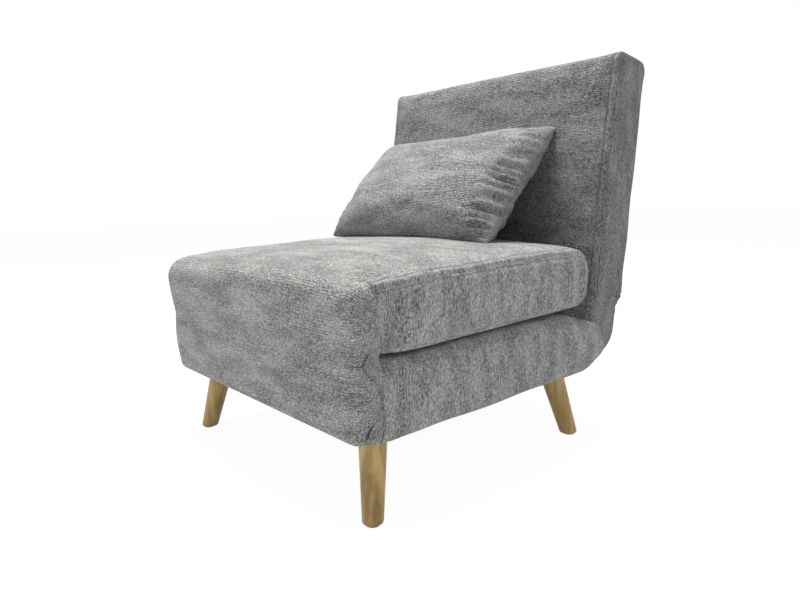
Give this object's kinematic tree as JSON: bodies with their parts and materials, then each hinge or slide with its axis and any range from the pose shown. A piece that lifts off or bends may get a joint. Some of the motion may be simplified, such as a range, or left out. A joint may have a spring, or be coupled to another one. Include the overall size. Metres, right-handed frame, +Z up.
{
  "type": "convertible chair bed",
  "caption": "Armless upholstered chair on splayed wooden legs; its seat turns over forwards and its backrest lies down to make a single bed, with a loose scatter pillow.",
  "frame": {"origin": "on the floor under the centre of the chair's bounding box, with the chair closed", "axes": "+X across the chair's width, towards the sitter's left hand; the front is -Y; +Z is up"},
  "size_m": [0.75, 0.872, 0.85],
  "materials": {
    "chenille": "slubby grey chenille, matt",
    "foam": "cream open-cell foam, matt",
    "fibre_filling": "white fibre, matt",
    "zip": "satin nylon",
    "lining": "thin black non-woven, matt",
    "slat_wood": "plain birch ply, satin",
    "leg_wood": "oiled light oak, satin",
    "bright_steel": "zinc plated, satin",
    "frame_steel": "black powder coat, satin",
    "black_plastic": "matt"
  },
  "bodies": {
    "base": {"base_frame": "frame_steel", "base_slats": "slat_wood", "base_underlining": "lining", "base_cover": "chenille", "base_foam": "foam", "front_pad_lower": "chenille", "leg_front_left": "leg_wood", "leg_front_right": "leg_wood", "leg_rear_left": "leg_wood", "leg_rear_right": "leg_wood", "leg_bolts": "bright_steel", "leg_glides": "black_plastic", "leg_plates": "frame_steel", "seat_hinge_base_left": "frame_steel", "seat_hinge_base_right": "frame_steel", "seat_hinge_pin_left": "bright_steel", "seat_hinge_pin_right": "bright_steel", "recline_arm_left": "frame_steel", "recline_arm_right": "frame_steel", "recline_pin_left": "bright_steel", "recline_pin_right": "bright_steel"},
    "seat": {"seat_frame": "frame_steel", "seat_slats": "slat_wood", "seat_cover": "chenille", "seat_foam_upper": "foam", "seat_foam_lower": "foam", "front_pad_upper": "chenille", "seat_hinge_seat_left": "frame_steel", "seat_hinge_seat_right": "frame_steel", "foot_leg_brackets": "frame_steel", "foot_leg_pins": "bright_steel"},
    "foot_leg_left": {"foot_leg_left": "frame_steel", "foot_leg_cap_left": "black_plastic"},
    "foot_leg_right": {"foot_leg_right": "frame_steel", "foot_leg_cap_right": "black_plastic"},
    "backrest": {"back_frame": "frame_steel", "back_slats": "slat_wood", "back_cover": "chenille", "back_foam_front": "foam", "back_foam_rear": "foam", "recline_ratchet_left": "frame_steel", "recline_ratchet_right": "frame_steel", "head_leg_lugs": "frame_steel", "head_leg_pins": "bright_steel"},
    "head_leg": {"head_leg": "frame_steel", "head_leg_sleeves": "black_plastic"},
    "pillow": {"pillow_cover": "chenille", "pillow_filling": "fibre_filling", "pillow_zip": "zip"}
  },
  "joints": [
    {"name": "seat_flip", "type": "hinge", "parent": "base", "child": "seat", "pos_m": [0, -0.354, 0.297], "axis": [1, 0, 0], "range_deg": [0, 180], "deforming": ["front_pad_lower", "front_pad_upper"]},
    {"name": "backrest_recline", "type": "hinge", "parent": "base", "child": "backrest", "pos_m": [0, 0.29451, 0.245], "axis": [-1, 0, 0], "range_deg": [0, 82], "deforming": ["pillow_cover", "pillow_filling", "pillow_zip"]},
    {"name": "foot_leg_left_swing", "type": "hinge", "parent": "seat", "child": "foot_leg_left", "pos_m": [-0.23, 0.23201, 0.396], "axis": [0, -1, 0], "range_deg": [0, 90]},
    {"name": "foot_leg_right_swing", "type": "hinge", "parent": "seat", "child": "foot_leg_right", "pos_m": [0.23, 0.23201, 0.396], "axis": [0, 1, 0], "range_deg": [0, 90]},
    {"name": "head_leg_swing", "type": "hinge", "parent": "backrest", "child": "head_leg", "pos_m": [0, 0.42624, 0.65062], "axis": [1, 0, 0], "range_deg": [0, 90]},
    {"name": "pillow_slide", "type": "slide", "parent": "backrest", "child": "pillow", "axis": [0, 0.1392, 0.9903], "range_m": [-0.151, 0]}
  ],
  "couplings": [
    {"joint": "pillow_slide", "follows": "seat_flip", "m_per_rad": -0.04806}
  ]
}
